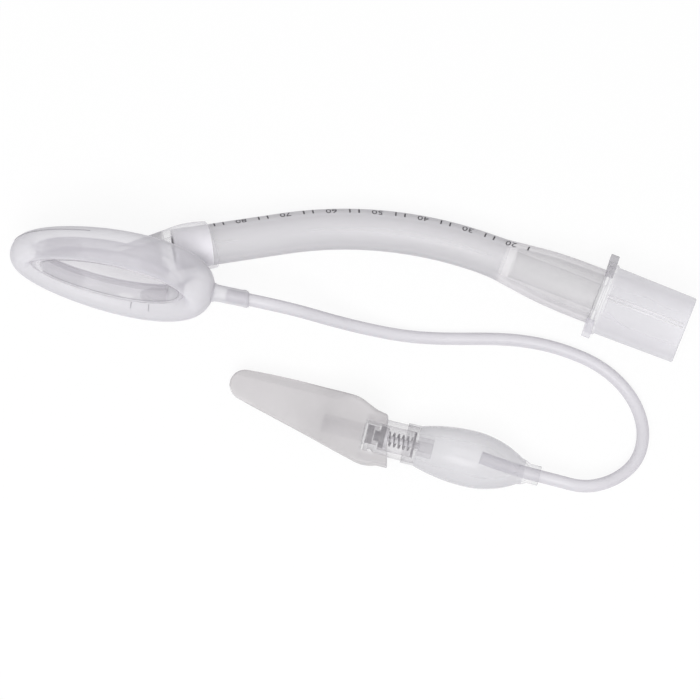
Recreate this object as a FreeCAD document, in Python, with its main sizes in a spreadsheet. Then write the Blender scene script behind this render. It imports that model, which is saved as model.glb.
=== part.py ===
import FreeCAD, Part
import math
import os

import Sketcher
from FreeCAD import Placement, Rotation, Vector

# Laryngeal mask airway, infant size, lying on its side.
# The mask's frame has its origin at the centre of the cuff's ring, X from the tip to the heel,
# Y to the back of the mask and Z to the side. Lengths are in millimetres and angles in degrees.
SIZES = {
    # cuff ring
    "ring_half_length": 19.9,
    "ring_half_width": 10.6,
    "ring_heel_fullness": 0.146,
    "tip_section_width": 5.6,
    "tip_section_height": 7.0,
    "heel_section_width": 6.8,
    "heel_section_height": 9.5,
    # inflation nipple on the heel
    "nipple_radius": 1.85,
    "nipple_length": 7.8,
    "nipple_slant": 12.0,
    "line_radius": 1.4,
    "line_clearance": 0.03,
    "line_seat": 5.0,
    "line_lead_out": 3.0,
    "line_lead_in": 3.2,
    "line_end_at": 25.8,
    "line_end_aside": 0.9,
    # backplate
    "dome_height": 5.6,
    "dome_inset": 1.3,
    "bowl_height": 5.6,
    "bowl_inset": 4.0,
    "bowl_centre_level": -1.5,
    "bowl_rim_level": -2.2,
    "plate_gap": 0.05,
    "collar_angle": 23.3,
    "tube_seat_x": 12.2,
    "tube_seat_y": 8.5,
    "collar_root_at": 3.2,
    "collar_root_radius": 5.75,
    "collar_rim_radius": 5.2,
    "collar_depth": 9.4,
    "collar_slant": 9.0,
    "funnel_length": 14.0,
    "funnel_end_radius": 2.2,
    "throat_end_radius": 1.3,
    # airway tube
    "tube_radius": 4.6,
    "lumen_radius": 3.1,
    "tube_clearance": 0.03,
    "straight_at_mask": 24.7,
    "straight_at_connector": 24.4,
    "bend_radius": 80.0,
    "bend_turn": 34.7,
    "flare_length": 23.6,
    "flare_wall": 1.25,
    # connector
    "stem_length": 20.2,
    "stem_tip_radius": 3.9,
    "stem_shoulder_radius": 4.85,
    "stem_shoulder_at": 11.0,
    "stem_root_radius": 5.05,
    "stem_bore_radius": 3.0,
    "flange_thickness": 2.0,
    "flange_radius": 8.2,
    "ear_reach": 9.5,
    "ear_width": 7.0,
    "ear_corner": 0.9,
    "cone_length": 18.5,
    "cone_end_radius": 7.54,
    "cone_taper": 0.0125,
    "cone_wall": 0.95,
    "cone_chamfer": 0.4,
    "cone_throat": 4.0,
    "cone_step": 0.7,
    # check valve
    "valve_radius": 4.1,
    "luer_rim_radius": 3.9,
    "luer_neck_radius": 3.3,
    "luer_mouth_radius": 2.15,
    "luer_taper": 0.03,
    "luer_depth": 2.6,
    "luer_rim_width": 1.0,
    "luer_shoulder_length": 1.0,
    "seat_radius": 1.5,
    "seat_thickness": 0.4,
    "chamber_radius": 2.9,
    "chamber_length": 8.0,
    "tail_fit": 0.05,
    "tail_plug_length": 0.5,
    "tail_flange_thickness": 0.7,
    "tail_length": 3.4,
    "tail_radius": 2.2,
    "tail_bore_radius": 1.2,
    "seal_radius": 2.4,
    "seal_thickness": 1.1,
    "seal_nose_radius": 1.15,
    "seal_nose_length": 1.3,
    "valve_gap": 0.05,
    "plunger_radius": 2.3,
    "plunger_thickness": 0.6,
    "stem_pin_radius": 0.7,
    "stem_pin_length": 7.4,
    "spring_radius": 1.5,
    "spring_wire_radius": 0.18,
    "spring_turns": 5.0,
    # pilot balloon
    "balloon_radius": 6.3,
    "balloon_wall": 0.35,
    "balloon_start": 8.7,
    "balloon_neck_length": 2.9,
    "balloon_belly_at": 23.4,
    "balloon_shoulder_at": 34.8,
    "balloon_shoulder_radius": 3.0,
    "sleeve_start": 37.0,
    "sleeve_end": 39.4,
    "sleeve_wall": 0.75,
    # vent plug and its tag
    "plug_radius": 2.0,
    "plug_length": 10.05,
    "plug_bore_radius": 1.1,
    "plug_collar_radius": 2.6,
    "plug_collar_thickness": 0.5,
    "plug_nose_length": 1.5,
    "plug_clearance": 0.03,
    "tag_length": 32.25,
    "tag_tip_radius": 3.45,
    "tag_lean": 14.4,
    "tag_top": 7.35,
    "tag_top_bulge": 180.0,
    "tag_shoulder_at": 1.8,
    "tag_shoulder_run": 2.8,
    "tag_shoulder_drop": 0.7,
    "tag_shoulder_radius": 6.8,
    "tag_brow_at": 1.2,
    "tag_brow_rise": 0.5,
    "tag_lip_reach": 3.8,
    "tag_mouth_reach": 6.2,
    "tag_mouth_top": 4.85,
    "tag_mouth_low": 6.25,
    "tag_mouth_wall": 0.5,
    "tag_mouth_depth": 11.6,
    "tag_mouth_corner": 3.8,
    "tag_low": 6.65,
    "tag_heel_at": 1.2,
    "tag_heel_run": 4.8,
    "tag_heel_radius": 8.0,
    "tag_leaf_depth": 2.2,
    "tag_flat_end": 2.0,
    "tag_taper_end": 17.0,
    # where the airway and the valve lie
    "airway_x": -53.584,
    "airway_y": 2.3,
    "airway_yaw": -11.73,
    "airway_pitch": -1.348,
    "airway_roll": -23.666,
    "valve_x": 2.696,
    "valve_y": -32.98,
    "valve_yaw": -14.0,
}

doc = FreeCAD.newDocument("laryngeal_mask_airway")
sheet = doc.addObject("Spreadsheet::Sheet", "Sizes")
for row, (name, value) in enumerate(SIZES.items(), 1):
    sheet.set(f"A{row}", name)
    sheet.set(f"B{row}", str(value))
    sheet.setAlias(f"B{row}", name)
doc.recompute()


ALONG = Vector(1, 0, 0)
BACK = Vector(0, 1, 0)
SIDE = Vector(0, 0, 1)
# where the domes' sections stand, in degrees round the ring's plan, and how square they stand up
DOME_TURNS = (14, 40, 65, 90, 115, 140, 166)
DOME_FULLNESS = 0.6
# share of the shorter run that an arc at a path's corner takes
ARC_REACH = 0.45


def size(name):
    return float(getattr(sheet, name))


def set_shape(label, shape):
    """A sub-part whose shape is built in code: its largest solid."""
    feature = doc.addObject("Part::Feature", label)
    feature.Shape = max(shape.Solids, key=lambda solid: solid.Volume)
    return feature


def new_body(label):
    body = doc.addObject("PartDesign::Body", label)
    body.Label = label
    return body


def new_sketch(body, name, plane, offset=None):
    """An empty sketch on one of the body's own origin planes."""
    sketch = body.newObject("Sketcher::SketchObject", name)
    support = next(f for f in body.Origin.OriginFeatures if f.Role == plane)
    sketch.AttachmentSupport = [(support, "")]
    sketch.MapMode = "FlatFace"
    if offset is not None:
        sketch.AttachmentOffset = offset
    return sketch


def worked_out(text):
    """The expression with the sheet's name before each size, and its value."""
    full = " ".join(f"Sizes.{w}" if w in SIZES else w for w in text.split())
    result = sheet.evalExpression(full)
    return full, float(getattr(result, "Value", result))


def bulge_radius(run, rise):
    """Radius of an arc that starts level and moves aside by the rise over the run."""
    return f"( ( {run} ) ^ 2 + ( {rise} ) ^ 2 ) / ( 2 * ( {rise} ) )"


def pin_point(sketch, edge, end, across, up):
    """Holds a point of the sketch at two expressions, measured from the sketch's origin."""
    for kind, axis, text in (("DistanceX", -2, across), ("DistanceY", -1, up)):
        full, value = worked_out(text)
        if abs(value) < 1e-9:
            sketch.addConstraint(Sketcher.Constraint("PointOnObject", edge, end, axis))
            continue
        index = sketch.addConstraint(Sketcher.Constraint(kind, -1, 1, edge, end, value))
        sketch.setExpression(f"Constraints[{index}]", full)


def arc_between(start, end, radius, side):
    """An arc through two points, with its centre on the left (1) or right (-1) of the way."""
    chord = end - start
    half = chord.Length / 2
    normal = Vector(-chord.y, chord.x, 0).normalize()
    centre = start + chord / 2 + normal * (side * math.sqrt(max(radius**2 - half**2, 0)))
    circle = Part.Circle(centre, Vector(0, 0, 1), radius)
    first, last = (start, end) if side > 0 else (end, start)
    return Part.ArcOfCircle(circle, circle.parameter(first), circle.parameter(last))


def outline(sketch, corners, arcs=None):
    """A closed outline of lines and arcs. Each corner is a pair of expressions in the sheet's
    names; arcs gives the radius, and the centre's side, of the edge that leaves a corner."""
    arcs = arcs or {}
    points = [Vector(worked_out(x)[1], worked_out(y)[1], 0) for x, y in corners]
    count = len(points)
    ends = []
    for i, point in enumerate(points):
        following = points[(i + 1) % count]
        if i in arcs:
            radius_text, side = arcs[i]
            full, radius = worked_out(radius_text)
            edge = sketch.addGeometry(arc_between(point, following, radius, side), False)
            index = sketch.addConstraint(Sketcher.Constraint("Radius", edge, radius))
            sketch.setExpression(f"Constraints[{index}]", full)
            ends.append((edge, 1, 2) if side > 0 else (edge, 2, 1))
        else:
            ends.append((sketch.addGeometry(Part.LineSegment(point, following), False), 1, 2))
    for i, (x, y) in enumerate(corners):
        edge, first, _ = ends[i]
        before, _, last = ends[i - 1]
        sketch.addConstraint(Sketcher.Constraint("Coincident", before, last, edge, first))
        pin_point(sketch, edge, first, x, y)


def revolved(body, name, corners, arcs=None, kind="PartDesign::Revolution"):
    """Turns an outline in the body's XY plane about its X axis."""
    sketch = new_sketch(body, f"{name}_outline", "XY_Plane")
    outline(sketch, corners, arcs)
    feature = body.newObject(kind, name)
    feature.Profile = sketch
    feature.ReferenceAxis = (sketch, ["H_Axis"])
    feature.Angle = 360
    body.Tip = feature
    return feature


def circle_sketch(body, name, plane, radius, offset=None, across="0", up="0"):
    sketch = new_sketch(body, name, plane, offset)
    full, value = worked_out(radius)
    edge = sketch.addGeometry(Part.Circle(Vector(0, 0, 0), Vector(0, 0, 1), value), False)
    pin_point(sketch, edge, 3, across, up)
    index = sketch.addConstraint(Sketcher.Constraint("Radius", edge, value))
    sketch.setExpression(f"Constraints[{index}]", full)
    return sketch


def cut_checked(body, feature):
    """Recomputes and makes sure that a cutting feature took material away."""
    before = feature.BaseFeature.Shape.Volume if feature.BaseFeature else None
    doc.recompute()
    after = feature.Shape.Volume
    if before is not None and not after < before - 1e-6:
        raise ValueError(f"{feature.Name} cuts nothing")
    body.Tip = feature


def cut_pocket(body, name, sketch, depth):
    """A pocket of the given depth, going against the sketch's normal."""
    pocket = body.newObject("PartDesign::Pocket", name)
    pocket.Profile = sketch
    full, value = worked_out(depth)
    pocket.Length = value
    pocket.setExpression("Length", full)
    cut_checked(body, pocket)


# Soft pieces and the backplate


def rounded_path(corners):
    """Straight runs joined by tangent arcs, and the arcs' radii."""
    edges, radii = [], []
    last = corners[0]
    for before, corner, after in zip(corners, corners[1:], corners[2:]):
        into, out = corner - before, after - corner
        reach = ARC_REACH * min(into.Length, out.Length)
        half_turn = into.getAngle(out) / 2
        radius = reach / math.tan(half_turn)
        into.normalize()
        out.normalize()
        first, second = corner - into * reach, corner + out * reach
        middle = corner + (out - into).normalize() * (radius / math.cos(half_turn) - radius)
        edges.append(Part.LineSegment(last, first).toShape())
        edges.append(Part.Arc(first, middle, second).toShape())
        radii.append(radius)
        last = second
    edges.append(Part.LineSegment(last, corners[-1]).toShape())
    return edges, radii


def egg_point(half_length, half_width, turn):
    """A point of an egg-shaped plan, from the tip (0) round to the tip again (360)."""
    angle = math.radians(turn)
    across = math.sin(angle) * (1 - size("ring_heel_fullness") * math.cos(angle))
    return Vector(-half_length * math.cos(angle), 0, half_width * across)


def ring_point(turn):
    return egg_point(size("ring_half_length"), size("ring_half_width"), turn)


def ring_section(turn):
    """Half width and half height of the cuff's section."""
    share = (1 - math.cos(math.radians(turn))) / 2
    width = size("tip_section_width") * (1 - share) + size("heel_section_width") * share
    height = size("tip_section_height") * (1 - share) + size("heel_section_height") * share
    return width / 2, height / 2


def ring_solid(swell):
    """The cuff's ring as one smooth closed surface, larger all round by the swell."""
    stations, around = 16, 8
    along_factor = 3 / (2 + math.cos(2 * math.pi / stations))
    around_factor = 3 / (2 + math.cos(2 * math.pi / around))
    poles = []
    for i in range(stations):
        turn = 360 * i / stations
        outward = BACK.cross(ring_point(turn + 1) - ring_point(turn - 1)).normalize()
        width, height = ring_section(turn)
        row = []
        for j in range(around):
            angle = 2 * math.pi * j / around
            aside = outward * ((width + swell) * around_factor * math.cos(angle))
            above = BACK * ((height + swell) * around_factor * math.sin(angle))
            row.append(ring_point(turn) * along_factor + aside + above)
        poles.append(row)
    once = [1] * (stations + 1), [1] * (around + 1)
    knots = list(range(stations + 1)), list(range(around + 1))
    surface = Part.BSplineSurface()
    surface.buildFromPolesMultsKnots(poles, *once, *knots, True, True, 3, 3)
    solid = Part.Solid(Part.Shell([surface.toShape()]))
    if solid.Volume < 0:
        solid.reverse()
    return solid


def make_cuff():
    """The inflated ring, with the nipple for its line on the heel."""
    ring_end = size("ring_half_length") + size("heel_section_width") / 2
    end = ring_end + size("nipple_length")
    nipple = Part.makeCylinder(
        size("nipple_radius"), end - size("ring_half_length"), Vector(size("ring_half_length"), 0, 0), ALONG
    )
    beyond = 4 * size("nipple_radius")
    cutter = Part.makeBox(beyond, 2 * beyond, 2 * beyond, Vector(0, -beyond, -beyond))
    cutter.Placement = Placement(Vector(end, 0, 0), Rotation(SIDE, size("nipple_slant")))
    bore = Part.makeCylinder(
        size("line_radius") + size("line_clearance"), 2 * beyond, Vector(end - size("line_seat"), 0, 0), ALONG
    )
    shape = ring_solid(0).fuse(nipple.cut(cutter)).cut(bore)
    return set_shape("cuff", shape)


def egg_dome(inset, height, level):
    """A domed solid over the ring's plan, drawn in from the ring's centre line by the inset."""
    wires = []
    for turn in DOME_TURNS:
        centre = egg_point(size("ring_half_length") - inset, size("ring_half_width") - inset, turn)
        across, centre.z, centre.y = centre.z, 0, level
        upward = height * math.sin(math.radians(turn)) ** DOME_FULLNESS
        major, minor = (BACK * upward, SIDE * across) if upward > across else (SIDE * across, BACK * upward)
        ellipse = Part.Ellipse(centre + major, centre + minor, centre)
        wires.append(Part.Wire([ellipse.toShape()]))
    return Part.makeLoft(wires, True)


def collar_frame():
    """Where the tube's end seats, with the frame's X along the tube."""
    seat = Vector(size("tube_seat_x"), size("tube_seat_y"), 0)
    return Placement(seat, Rotation(SIDE, size("collar_angle")))


def make_backplate():
    """The bowl that closes the ring's back, with the funnel and the collar for the tube."""
    rim, depth, funnel = size("collar_rim_radius"), size("collar_depth"), size("funnel_length")
    corners = [
        Vector(-funnel, size("funnel_end_radius"), 0),
        Vector(size("collar_root_at"), size("collar_root_radius"), 0),
        Vector(depth, rim, 0),
    ]
    edges, _ = rounded_path(corners)
    axis = [corners[-1], ALONG * depth, ALONG * -funnel, corners[0]]
    edges += [Part.LineSegment(first, second).toShape() for first, second in zip(axis, axis[1:])]
    collar = Part.Face(Part.Wire(edges)).revolve(Vector(0, 0, 0), ALONG, 360)
    slant = Part.makeBox(depth, 4 * rim, 4 * rim, Vector(0, -2 * rim, -2 * rim))
    slant.Placement = Placement(Vector(depth, -rim, 0), Rotation(SIDE, size("collar_slant")))
    collar = collar.cut(slant)
    socket_radius = size("tube_radius") + size("tube_clearance")
    bores = Part.makeCylinder(socket_radius, 2 * depth, Vector(0, 0, 0), ALONG).fuse(
        Part.makeCone(size("throat_end_radius"), size("lumen_radius"), funnel, Vector(-funnel, 0, 0), ALONG)
    )
    for shape in (collar, bores):
        shape.Placement = collar_frame()
    far = 2 * size("ring_half_length")
    below = Part.makeBox(2 * far, far, 2 * far, Vector(-far, size("bowl_rim_level") - far, -far))
    outside = egg_dome(size("dome_inset"), size("dome_height"), 0).fuse(collar)
    bowl = egg_dome(size("bowl_inset"), size("bowl_height"), size("bowl_centre_level"))
    shape = outside.cut(bowl).cut(bores).cut(below).cut(ring_solid(size("plate_gap")))
    return set_shape("backplate", shape)


# Airway tube and connector, with X along the connector from the flange's near face


def tube_pipe(body, name, radius, kind):
    """The tube's run from the flange to its end in the collar, at one radius."""
    path = new_sketch(body, f"{name}_path", "XY_Plane")
    turn = math.radians(size("bend_turn"))
    near = Vector(-size("straight_at_connector"), 0, 0)
    centre = near - BACK * size("bend_radius")
    far = centre + Vector(-math.sin(turn), math.cos(turn), 0) * size("bend_radius")
    end = far - Vector(math.cos(turn), math.sin(turn), 0) * size("straight_at_mask")
    first = path.addGeometry(Part.LineSegment(Vector(0, 0, 0), near), False)
    circle = Part.Circle(centre, SIDE, size("bend_radius"))
    arc = path.addGeometry(Part.ArcOfCircle(circle, math.pi / 2, math.pi / 2 + turn), False)
    last = path.addGeometry(Part.LineSegment(far, end), False)
    path.addConstraint(Sketcher.Constraint("Coincident", first, 1, -1, 1))
    path.addConstraint(Sketcher.Constraint("Horizontal", first))
    path.addConstraint(Sketcher.Constraint("Tangent", first, 2, arc, 1))
    path.addConstraint(Sketcher.Constraint("Tangent", arc, 2, last, 1))
    for kind_name, edge, value, text in (
        ("Distance", first, size("straight_at_connector"), "Sizes.straight_at_connector"),
        ("Radius", arc, size("bend_radius"), "Sizes.bend_radius"),
        ("Angle", arc, turn, "Sizes.bend_turn * 1 deg"),
        ("Distance", last, size("straight_at_mask"), "Sizes.straight_at_mask"),
    ):
        index = path.addConstraint(Sketcher.Constraint(kind_name, edge, value))
        path.setExpression(f"Constraints[{index}]", text)
    profile = circle_sketch(body, f"{name}_section", "YZ_Plane", radius)
    doc.recompute()
    pipe = body.newObject(kind, name)
    pipe.Profile = profile
    pipe.Spine = (path, [])
    body.Tip = pipe
    return pipe


def stem_profile(radial=""):
    """Corners of the stem's outside from the tip to the flange, farther out by the added radius."""
    return [
        ("- stem_length", f"stem_tip_radius {radial}"),
        ("- stem_shoulder_at", f"stem_shoulder_radius {radial}"),
        ("0", f"stem_root_radius {radial}"),
    ]


def make_tube():
    """The soft tube, stretched over the connector's stem."""
    body = new_body("airway_tube")
    tube_pipe(body, "wall", "tube_radius", "PartDesign::AdditivePipe")
    flare = stem_profile("+ flare_wall")
    revolved(body, "flare", [("- flare_length", "0"), ("- flare_length", "tube_radius"), *flare, ("0", "0")])
    bore = tube_pipe(body, "lumen", "lumen_radius", "PartDesign::SubtractivePipe")
    cut_checked(body, bore)
    seat = revolved(
        body,
        "stem_seat",
        [
            ("- flare_length", "0"),
            ("- flare_length", "lumen_radius"),
            *stem_profile("+ tube_clearance"),
            ("0", "0"),
        ],
        kind="PartDesign::Groove",
    )
    cut_checked(body, seat)
    return body


def make_connector():
    """The 15 mm male cone with its flange, two ears and the stem."""
    body = new_body("connector")
    cone_root = "cone_end_radius + cone_taper * cone_length"
    far = "flange_thickness + cone_length"
    revolved(
        body,
        "outside",
        [
            ("- stem_length", "0"),
            *stem_profile(),
            ("0", "flange_radius"),
            ("flange_thickness", "flange_radius"),
            ("flange_thickness", cone_root),
            (f"{far} - cone_chamfer", "cone_end_radius + cone_taper * cone_chamfer"),
            (far, "cone_end_radius - cone_chamfer"),
            (far, "0"),
        ],
    )
    ears = new_sketch(body, "ears_outline", "YZ_Plane")
    reach, half = "ear_reach", "ear_width / 2"
    outline(
        ears,
        [
            (f"- {reach} + ear_corner", f"- {half}"),
            (f"{reach} - ear_corner", f"- {half}"),
            (reach, f"- {half} + ear_corner"),
            (reach, f"{half} - ear_corner"),
            (f"{reach} - ear_corner", half),
            (f"- {reach} + ear_corner", half),
            (f"- {reach}", f"{half} - ear_corner"),
            (f"- {reach}", f"- {half} + ear_corner"),
        ],
        {i: ("ear_corner", 1) for i in (1, 3, 5, 7)},
    )
    pad = body.newObject("PartDesign::Pad", "ears")
    pad.Profile = ears
    pad.Length = size("flange_thickness")
    pad.setExpression("Length", "Sizes.flange_thickness")
    body.Tip = pad
    doc.recompute()
    bore = revolved(
        body,
        "bore",
        [
            ("- stem_length", "0"),
            ("- stem_length", "stem_bore_radius"),
            ("0", "stem_bore_radius"),
            ("flange_thickness + cone_throat", "cone_end_radius - cone_wall - cone_step"),
            (far, "cone_end_radius - cone_wall"),
            (far, "0"),
        ],
        kind="PartDesign::Groove",
    )
    cut_checked(body, bore)
    return body


# Check valve, pilot balloon, vent plug and tag, with X from the Luer port into the balloon


def make_valve_body():
    """The clear housing: Luer port, seat web and spring chamber."""
    body = new_body("valve_body")
    seat_end = "luer_depth + seat_thickness"
    end = f"{seat_end} + chamber_length"
    revolved(
        body,
        "outside",
        [
            ("0", "luer_mouth_radius"),
            ("0", "luer_rim_radius"),
            ("luer_rim_width", "luer_rim_radius"),
            ("luer_rim_width", "luer_neck_radius"),
            ("luer_depth - luer_shoulder_length", "luer_neck_radius"),
            ("luer_depth", "valve_radius"),
            (end, "valve_radius"),
            (end, "chamber_radius"),
            (seat_end, "chamber_radius"),
            (seat_end, "seat_radius"),
            ("luer_depth", "seat_radius"),
            ("luer_depth", "luer_mouth_radius - luer_taper * luer_depth"),
        ],
    )
    return body


def make_valve_tail():
    """The cap that closes the chamber, with the tail that stands inside the balloon."""
    body = new_body("valve_tail")
    face = "luer_depth + seat_thickness + chamber_length"
    revolved(
        body,
        "turned",
        [
            (f"{face} - tail_plug_length", "tail_bore_radius"),
            (f"{face} - tail_plug_length", "chamber_radius - tail_fit"),
            (face, "chamber_radius - tail_fit"),
            (face, "valve_radius"),
            (f"{face} + tail_flange_thickness", "valve_radius"),
            (f"{face} + tail_flange_thickness", "tail_radius"),
            (f"{face} + tail_flange_thickness + tail_length", "tail_radius"),
            (f"{face} + tail_flange_thickness + tail_length", "tail_bore_radius"),
        ],
    )
    return body


SEAL_FACE = "luer_depth + seat_thickness + valve_gap"
PLUNGER_FACE = f"{SEAL_FACE} + seal_thickness + valve_gap"


def make_valve_seal():
    """The rubber seal: a nose through the seat's hole and a flange behind it."""
    body = new_body("valve_seal")
    revolved(
        body,
        "moulded",
        [
            (f"{SEAL_FACE} - seal_nose_length", "0"),
            (f"{SEAL_FACE} - seal_nose_length", "seal_nose_radius"),
            (SEAL_FACE, "seal_nose_radius"),
            (SEAL_FACE, "seal_radius"),
            (f"{SEAL_FACE} + seal_thickness", "seal_radius"),
            (f"{SEAL_FACE} + seal_thickness", "0"),
        ],
    )
    return body


def make_valve_plunger():
    """The plunger: a disc that carries the seal, and a pin that the tail guides."""
    body = new_body("valve_plunger")
    revolved(
        body,
        "turned",
        [
            (PLUNGER_FACE, "0"),
            (PLUNGER_FACE, "plunger_radius"),
            (f"{PLUNGER_FACE} + plunger_thickness", "plunger_radius"),
            (f"{PLUNGER_FACE} + plunger_thickness", "stem_pin_radius"),
            (f"{PLUNGER_FACE} + plunger_thickness + stem_pin_length", "stem_pin_radius"),
            (f"{PLUNGER_FACE} + plunger_thickness + stem_pin_length", "0"),
        ],
    )
    return body


def make_valve_spring():
    """The coil spring between the plunger's disc and the tail."""
    body = new_body("valve_spring")
    front = f"{PLUNGER_FACE} + plunger_thickness + spring_wire_radius + valve_gap"
    back = (
        "luer_depth + seat_thickness + chamber_length - tail_plug_length"
        " - spring_wire_radius - valve_gap"
    )
    wire = circle_sketch(body, "wire_section", "XY_Plane", "spring_wire_radius", None, front, "spring_radius")
    doc.recompute()
    coil = body.newObject("PartDesign::AdditiveHelix", "coil")
    coil.Profile = wire
    coil.ReferenceAxis = (wire, ["H_Axis"])
    coil.Mode = "height-turns-angle"
    height, value = worked_out(f"{back} - ( {front} )")
    coil.Height = value
    coil.setExpression("Height", height)
    coil.Turns = size("spring_turns")
    coil.setExpression("Turns", "Sizes.spring_turns")
    body.Tip = coil
    return body


def make_balloon():
    """The clear bulb: a neck on the valve, a belly, and a sleeve round the line."""
    body = new_body("pilot_balloon")
    neck = "valve_radius + valve_gap"
    neck_end = "balloon_start + balloon_neck_length"
    sleeve = "line_radius + line_clearance"
    outer_sleeve = f"{sleeve} + sleeve_wall"
    front = bulge_radius(
        f"balloon_belly_at - ( {neck_end} )", f"balloon_radius - balloon_wall - ( {neck} )"
    )
    back = bulge_radius("balloon_shoulder_at - balloon_belly_at", "balloon_radius - balloon_shoulder_radius")
    hollow = bulge_radius(
        "sleeve_start - balloon_shoulder_at", f"balloon_shoulder_radius - ( {outer_sleeve} )"
    )
    revolved(
        body,
        "blown",
        [
            ("balloon_start", f"{neck} + balloon_wall"),
            (neck_end, f"{neck} + balloon_wall"),
            ("balloon_belly_at", "balloon_radius"),
            ("balloon_shoulder_at", "balloon_shoulder_radius"),
            ("sleeve_start", outer_sleeve),
            ("sleeve_end", outer_sleeve),
            ("sleeve_end", sleeve),
            ("sleeve_start", sleeve),
            ("balloon_shoulder_at", "balloon_shoulder_radius - balloon_wall"),
            ("balloon_belly_at", "balloon_radius - balloon_wall"),
            (neck_end, neck),
            ("balloon_start", neck),
        ],
        {1: (front, -1), 2: (back, -1), 3: (hollow, 1), 8: (back, 1), 9: (front, 1)},
    )
    return body


def make_plug():
    """The clear stub in the Luer port, blind at its outer end's bore."""
    body = new_body("vent_plug")
    nose = "luer_mouth_radius - plug_clearance"
    revolved(
        body,
        "moulded",
        [
            ("- plug_length", "plug_bore_radius"),
            ("- plug_length", "plug_radius"),
            ("- plug_collar_thickness - plug_clearance", "plug_radius"),
            ("- plug_collar_thickness - plug_clearance", "plug_collar_radius"),
            ("- plug_clearance", "plug_collar_radius"),
            ("- plug_clearance", nose),
            ("plug_nose_length", f"{nose} - luer_taper * plug_nose_length"),
            ("plug_nose_length", "0"),
            ("- plug_collar_thickness", "0"),
            ("- plug_collar_thickness", "plug_bore_radius"),
        ],
    )
    return body


def make_tag():
    """The leaf-shaped grip: a hood over the port that flattens into a leaf."""
    body = new_body("vent_tag")
    leaf = new_sketch(body, "leaf_outline", "XY_Plane")
    tip_level = "tag_top - tag_tip_radius"
    outline(
        leaf,
        [
            ("tag_lip_reach", "tag_mouth_top"),
            ("tag_brow_at", "tag_mouth_top + tag_brow_rise"),
            ("- tag_shoulder_at", "tag_top - tag_shoulder_drop"),
            ("- tag_shoulder_at - tag_shoulder_run", "tag_top"),
            ("- tag_length + tag_tip_radius", "tag_top"),
            (
                "- tag_length + tag_tip_radius - tag_tip_radius * sin( tag_lean )",
                f"{tip_level} - tag_tip_radius * cos( tag_lean )",
            ),
            ("- tag_heel_at", "- tag_low"),
            ("- tag_heel_at + tag_heel_run", "- tag_mouth_low"),
            ("tag_mouth_reach", "- tag_mouth_low"),
        ],
        {
            2: ("tag_shoulder_radius", 1),
            3: ("tag_top_bulge", 1),
            4: ("tag_tip_radius", 1),
            6: ("tag_heel_radius", 1),
        },
    )
    pad = body.newObject("PartDesign::Pad", "leaf")
    pad.Profile = leaf
    pad.Length = size("tag_mouth_depth")
    pad.setExpression("Length", "Sizes.tag_mouth_depth")
    pad.Midplane = True
    body.Tip = pad
    doc.recompute()
    run = "( tag_taper_end - tag_flat_end ) / 2"
    rise = "( tag_mouth_depth - tag_leaf_depth ) / 4"
    for name, sign, side in (("near_taper", "", 1), ("far_taper", "-", -1)):
        sketch = new_sketch(body, f"{name}_outline", "XZ_Plane")
        corners = [
            ("- tag_flat_end", f"{sign} tag_mouth_depth / 2"),
            (f"- tag_flat_end - {run}", f"{sign} ( tag_mouth_depth / 2 - {rise} )"),
            ("- tag_taper_end", f"{sign} tag_leaf_depth / 2"),
            ("- tag_length - tag_tip_radius", f"{sign} tag_leaf_depth / 2"),
            ("- tag_length - tag_tip_radius", f"{sign} tag_mouth_depth"),
            ("- tag_flat_end", f"{sign} tag_mouth_depth"),
        ]
        sweep = bulge_radius(run, rise)
        outline(sketch, corners, {0: (sweep, side), 1: (sweep, -side)})
        pocket = body.newObject("PartDesign::Pocket", name)
        pocket.Profile = sketch
        pocket.Type = "ThroughAll"
        pocket.Midplane = True
        cut_checked(body, pocket)
    inner_top = "tag_mouth_top - tag_mouth_wall"
    inner_low = "- tag_mouth_low + tag_mouth_wall"
    near_side = "tag_mouth_depth / 2 - tag_mouth_wall"
    far_side = "- tag_mouth_depth / 2 + tag_mouth_wall"
    corner = "tag_mouth_corner"
    at_mouth = Placement(SIDE * size("tag_mouth_reach"), Rotation())
    mouth = new_sketch(body, "mouth_outline", "YZ_Plane", at_mouth)
    mouth.setExpression("AttachmentOffset.Base.z", "Sizes.tag_mouth_reach")
    outline(
        mouth,
        [
            (f"{inner_top} - {corner}", far_side),
            (inner_top, f"{far_side} + {corner}"),
            (inner_top, f"{near_side} - {corner}"),
            (f"{inner_top} - {corner}", near_side),
            (f"{inner_low} + {corner}", near_side),
            (inner_low, f"{near_side} - {corner}"),
            (inner_low, f"{far_side} + {corner}"),
            (f"{inner_low} + {corner}", far_side),
        ],
        {0: (corner, 1), 2: (corner, 1), 4: (corner, 1), 6: (corner, 1)},
    )
    cut_pocket(body, "mouth", mouth, "tag_mouth_reach + plug_collar_thickness + 2 * plug_clearance")
    hole = circle_sketch(body, "plug_hole_outline", "YZ_Plane", "plug_radius + plug_clearance")
    cut_pocket(body, "plug_hole", hole, "plug_length + plug_clearance")
    return body


# Inflation line, in the resting frame with its floor at z = 0

# corners of the run between the nipple and the balloon
LINE_RUN = (
    (-12.21, -6.28, 11.7),
    (-4.21, -8.18, 7.3),
    (3.99, -9.83, 3.7),
    (11.79, -11.08, 1.9),
    (19.79, -11.58, 1.42),
    (33.59, -11.48, 1.42),
    (41.79, -12.58, 1.42),
    (48.59, -14.58, 1.42),
    (54.79, -17.38, 1.42),
    (59.99, -21.68, 1.45),
    (63.49, -26.98, 1.7),
    (64.79, -32.88, 2.4),
    (63.29, -38.68, 3.4),
    (59.29, -42.48, 4.6),
    (54.49, -44.48, 5.9),
    (49.89, -44.88, 6.6),
)


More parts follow.
